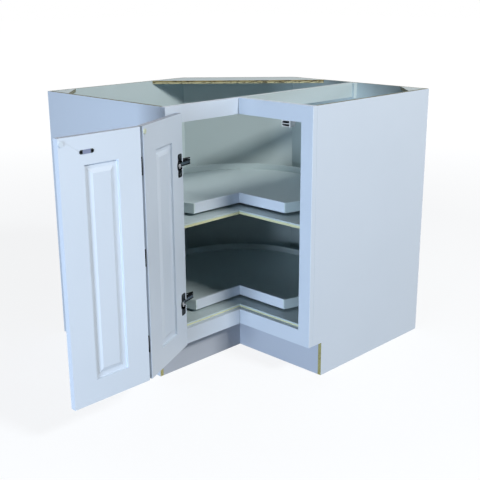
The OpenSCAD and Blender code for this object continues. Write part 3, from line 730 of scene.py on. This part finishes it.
def strikePlate():
    # a zinc plate with clipped corners; its two ends are gunmetal, painted shade round its two screws
    bm = mergedCopy("strike_plate")
    bmesh.ops.transform(bm, matrix=leafMatrix(True).inverted(), verts=bm.verts)
    sides = [vert.co.x for vert in bm.verts]
    low, high = min(sides), max(sides)
    corners = [
        edge
        for edge in bm.edges
        if abs(edge.verts[0].co.y - edge.verts[1].co.y) > strike["through"]
        and all(min(vert.co.x - low, high - vert.co.x) < strike["near"] for vert in edge.verts)
    ]
    bmesh.ops.bevel(
        bm, geom=corners, offset=strike["corner"], segments=1, profile=0.5, affect="EDGES", material=-1
    )
    middle = (low + high) / 2
    for side in (-1, 1):
        cutAcross(bm, (middle + side * strike["endFrom"], 0, 0), (1, 0, 0))
    for face in bm.faces:
        # the ends beyond endFrom take gunmetal: painted shade of the dimples round the screws
        face.material_index = int(abs(face.calc_center_median().x - middle) > strike["endFrom"])
    leafPlace(bm, True)
    slot = slotOf["strike_plate"]
    addPiece("strike_plate_dressed", bm, (zinc, gunmetal), "folding_leaf", slot, ["strike_plate"])


strikePlate()

cupHinge = {
    "cupX": 0.2345,  # the cups' middles in the leaf's own drawing
    "heights": (0.145, 0.581),
    "wing": (0.026, 0.0014, 0.0205),  # one end of the flange: width, thickness, length
    "wingStart": 0.0145,  # from the cup's middle
    "corner": 0.005,
    "cornerSegments": 4,
    "wingEase": 0.0004,
    "screwAt": 0.027,
    "screwR": 0.0042,
    "screwH": 0.0012,
    "screwTop": 0.7,  # its top's share of its radius
    "screwSegments": 20,
    "recess": (0.0008, -0.0006),  # how wide a rim it leaves, and how far it goes in
    "cover": (0.0055, 0.0034, 0.014),  # the moulded cover inside the cup, drawn pale as a painted highlight of the cup's glint
    "coverAt": (0.0045, -0.0026, -0.003),  # from the cup's middle
    "coverEase": 0.0012,
    # bands of each arm, low and high edge from its middle line, and how far each stands proud
    "armBands": {
        "plate": (-0.0105, 0.0025, 0.0),
        "lowerRail": (-0.0115, -0.0085, 0.0007),
        "upperRail": (0.0002, 0.0025, 0.0007),
        "link": (0.0055, 0.0082, 0.0003),
    },
    "peg": (0.0016, 0.0105, 0.0145),  # radius, foot and head above the middle line
    "pegSegments": 16,
}


def boxAt(bm, size, middle):
    # a box that joins the mesh; gives back its vertices
    made = bmesh.ops.create_cube(bm, size=1)["verts"]
    bmesh.ops.scale(bm, vec=size, verts=made)
    bmesh.ops.translate(bm, vec=middle, verts=made)
    return made


def cupFlanges():
    # pressed flange ends on both sides of each cup, with rounded outer corners
    bm = bmesh.new()
    wide, thick, long = cupHinge["wing"]
    for height in cupHinge["heights"]:
        for side in (-1, 1):
            middle = height + side * (cupHinge["wingStart"] + long / 2)
            made = boxAt(bm, (wide, thick, long), (cupHinge["cupX"], thick / 2, middle))
            outer = [
                edge
                for edge in bm.edges
                if all(vert in made and (vert.co.z - middle) * side > 0 for vert in edge.verts)
                and abs(edge.verts[0].co.y - edge.verts[1].co.y) > thick / 2
            ]
            bmesh.ops.bevel(
                bm,
                geom=outer,
                offset=cupHinge["corner"],
                segments=cupHinge["cornerSegments"],
                profile=0.5,
                affect="EDGES",
                material=-1,
            )
    easeEdges(bm, cupHinge["wingEase"], which=lambda edge: all(vert.co.y > thick / 2 for vert in edge.verts))
    leafPlace(bm, False)
    addPiece("cup_flange_ends", bm, (blackSteel,), "hinged_leaf", slotOf["hinge_cups"])


def cupScrews():
    # low round heads with a round recess
    bm = bmesh.new()
    radius, height = cupHinge["screwR"], cupHinge["screwH"]
    toBack = Matrix.Rotation(math.radians(-90), 3, "X")
    for cup in cupHinge["heights"]:
        for side in (-1, 1):
            made = bmesh.ops.create_cone(
                bm,
                cap_ends=True,
                segments=cupHinge["screwSegments"],
                radius1=radius,
                radius2=radius * cupHinge["screwTop"],
                depth=height,
            )["verts"]
            seat = (cupHinge["cupX"], cupHinge["wing"][1], cup + side * cupHinge["screwAt"])
            bmesh.ops.rotate(bm, verts=made, cent=(0, 0, 0), matrix=toBack)
            bmesh.ops.translate(bm, verts=made, vec=Vector(seat) + Vector((0, height / 2, 0)))
    heads = [face for face in bm.faces if facing(face, (0, 1, 0))]
    for face in heads:
        face.material_index = 1
    rim, depth = cupHinge["recess"]
    bmesh.ops.inset_individual(bm, faces=heads, thickness=rim, depth=depth)
    leafPlace(bm, False)
    slot = slotOf["cup_screws"]
    addPiece("cup_screws_dressed", bm, (gunmetal, blackSteel), "hinged_leaf", slot, ["cup_screws"])


def cupCoversWithGlint():
    # grey moulded covers over the springs in the cups, drawn pale as a painted highlight
    bm = bmesh.new()
    for height in cupHinge["heights"]:
        middle = Vector((cupHinge["cupX"], 0, height)) + Vector(cupHinge["coverAt"])
        boxAt(bm, cupHinge["cover"], middle)
    easeEdges(bm, cupHinge["coverEase"], segments=3)
    leafPlace(bm, False)
    addPiece("cup_spring_covers_glint", bm, (paleNylonGlint,), "hinged_leaf", slotOf["hinge_cups"])


def armMiddles():
    return [doors["start"][2] + height for height in cupHinge["heights"]]


def armBand(low, high, proud):
    # a strip of both hinge arms between two heights about their middle lines, pushed out sideways
    bm = mergedCopy("hinge_arms")
    bmesh.ops.recalc_face_normals(bm, faces=bm.faces)
    for vert in bm.verts:
        middle = min(armMiddles(), key=lambda height: abs(height - vert.co.z))
        height = middle + (high if vert.co.z > middle else low)
        push = Vector((vert.normal.x, vert.normal.y, 0)).normalized() * proud
        vert.co = Vector((vert.co.x + push.x, vert.co.y + push.y, height))
    return bm


def hingeArms():
    # each arm is a plate with folded edges and a peg, with the adjusting link as a thinner bar above it
    body, slot = bodyOf["hinge_arms"], slotOf["hinge_arms"]
    bands = cupHinge["armBands"]
    bm = armBand(*bands["plate"])
    radius, foot, head = cupHinge["peg"]
    for middle in armMiddles():
        made = bmesh.ops.create_cone(
            bm,
            cap_ends=True,
            segments=cupHinge["pegSegments"],
            radius1=radius,
            radius2=radius,
            depth=head - foot,
        )["verts"]
        place = (doors["hinge"][0], doors["hinge"][1], middle + (head + foot) / 2)
        bmesh.ops.translate(bm, verts=made, vec=place)
    addPiece("hinge_arms_dressed", bm, (nickel,), body, slot, ["hinge_arms"])
    for name in ("lowerRail", "upperRail", "link"):
        addPiece("hinge_arm_" + name, armBand(*bands[name]), (blackSteel,), body, slot)


cupFlanges()
cupScrews()
cupCoversWithGlint()
hingeArms()
print("hardware ready")


studio = {
    "floorSize": 30,
    "floorColour": "#666B70",
    # how white the camera sees the paper: a strength up to one distance, and a strength from another on
    "whiteNear": (0.86, 1.5),
    "whiteFar": (1.0, 4.5),
    "ambient": "#DDE6F0",
    "ambientStrength": 0.055,
    "aim": (0.5, -0.5, 0.5),
    # from: degrees from +X towards +Y, degrees up, metres
    "lamps": {
        "key": {"from": (2.9, 35.2, 7.3), "size": (1.53, 0.96), "watts": 396, "colour": "#FFFDF9"},
        # low, so that it does not reach over the rails into the open top
        "fill": {"from": (-71.5, -1, 4.0), "size": (1.0, 0.8), "watts": 124, "colour": "#DEECFF"},
        # a weak lamp behind the right side, for the door leaf that is turned that way
        "back": {"from": (40, 12, 6.0), "size": (1.5, 1.0), "watts": 46, "colour": "#EEF3FF"},
        # lights the outer back faces, which the photo does not show, from too low to glint on the tops
        "rear": {"from": (135, -3, 6.0), "size": (2.0, 1.2), "watts": 110, "colour": "#EEF3FF"},
        # a weak high panel behind the left side that lights the shelves through the open top
        "sky": {"from": (210, 58, 3.4), "size": (2.0, 2.0), "watts": 20, "colour": "#E4EEFF"},
    },
}


def addLamp(name, settings):
    turn, lift, distance = settings["from"]
    turned = Matrix.Rotation(math.radians(turn), 3, "Z") @ Matrix.Rotation(math.radians(-lift), 3, "Y")
    away = turned @ Vector((distance, 0, 0))
    place = Vector(studio["aim"]) + away
    data = bpy.data.lights.new(name, "AREA")
    data.shape = "RECTANGLE"
    data.size, data.size_y = settings["size"]
    data.energy = settings["watts"]
    data.color = linear(settings["colour"])[:3]
    lamp = bpy.data.objects.new(name, data)
    bpy.context.scene.collection.objects.link(lamp)
    towards = (-away).to_track_quat("-Z", "Y")
    lamp.matrix_world = Matrix.Translation(place) @ towards.to_matrix().to_4x4()


def seenAsBackground(tree):
    # 1 for the rays that see the background itself, in metal and glass too, and 0 for those that light
    path = add(tree, "ShaderNodeLightPath")
    seen = path.outputs["Is Camera Ray"]
    for kind in ("Is Glossy Ray", "Is Transmission Ray"):
        seen = add(
            tree, "ShaderNodeMath", {"operation": "MAXIMUM"}, {0: seen, 1: path.outputs[kind]}
        ).outputs["Value"]
    return seen


def addFloor():
    bm = bmesh.new()
    bmesh.ops.create_grid(bm, x_segments=1, y_segments=1, size=studio["floorSize"])
    mesh = bpy.data.meshes.new("studioFloor")
    bm.to_mesh(mesh)
    bm.free()
    floor = bpy.data.objects.new("studioFloor", mesh)
    bpy.context.scene.collection.objects.link(floor)
    floor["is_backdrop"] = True

    # Matt white paper sweep: it takes the shadow, and the camera sees it lifted to white
    finish = bpy.data.materials.new("paperSweep")
    finish.use_nodes = True
    tree = finish.node_tree
    tree.nodes.clear()
    seen = seenAsBackground(tree)
    place = add(tree, "ShaderNodeTexCoord")
    away = add(tree, "ShaderNodeVectorMath", {"operation": "LENGTH"}, {0: place.outputs["Object"]})
    lift = add(
        tree,
        "ShaderNodeMapRange",
        {
            "From Min": studio["whiteNear"][1],
            "From Max": studio["whiteFar"][1],
            "To Min": studio["whiteNear"][0],
            "To Max": studio["whiteFar"][0],
        },
        {"Value": away.outputs["Value"]},
    )
    lift = add(
        tree,
        "ShaderNodeMath",
        {"operation": "MULTIPLY"},
        {0: seen, 1: lift.outputs["Result"]},
    )
    paper = add(tree, "ShaderNodeBsdfDiffuse", {"Color": linear(studio["floorColour"])})
    white = add(tree, "ShaderNodeEmission", {"Color": (1, 1, 1, 1)}, {"Strength": lift.outputs["Value"]})
    both = add(tree, "ShaderNodeAddShader", {}, {0: paper.outputs["BSDF"], 1: white.outputs["Emission"]})
    add(tree, "ShaderNodeOutputMaterial", links={"Surface": both.outputs["Shader"]})
    mesh.materials.append(finish)


def addWorld():
    world = bpy.data.worlds.new("studioWorld")
    bpy.context.scene.world = world
    world.use_nodes = True
    tree = world.node_tree
    tree.nodes.clear()
    seen = seenAsBackground(tree)
    ambient = add(
        tree,
        "ShaderNodeBackground",
        {"Color": linear(studio["ambient"]), "Strength": studio["ambientStrength"]},
    )
    white = add(tree, "ShaderNodeBackground", {"Color": (1, 1, 1, 1), "Strength": 1.0})
    both = add(
        tree,
        "ShaderNodeMixShader",
        {},
        {0: seen, 1: ambient.outputs["Background"], 2: white.outputs["Background"]},
    )
    add(tree, "ShaderNodeOutputWorld", links={"Surface": both.outputs["Shader"]})


addCamera()
addFloor()
addWorld()
for lamp, settings in studio["lamps"].items():
    addLamp(lamp + "Lamp", settings)
bpy.context.scene.view_settings.view_transform = "Standard"
print("studio ready")

low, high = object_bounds()
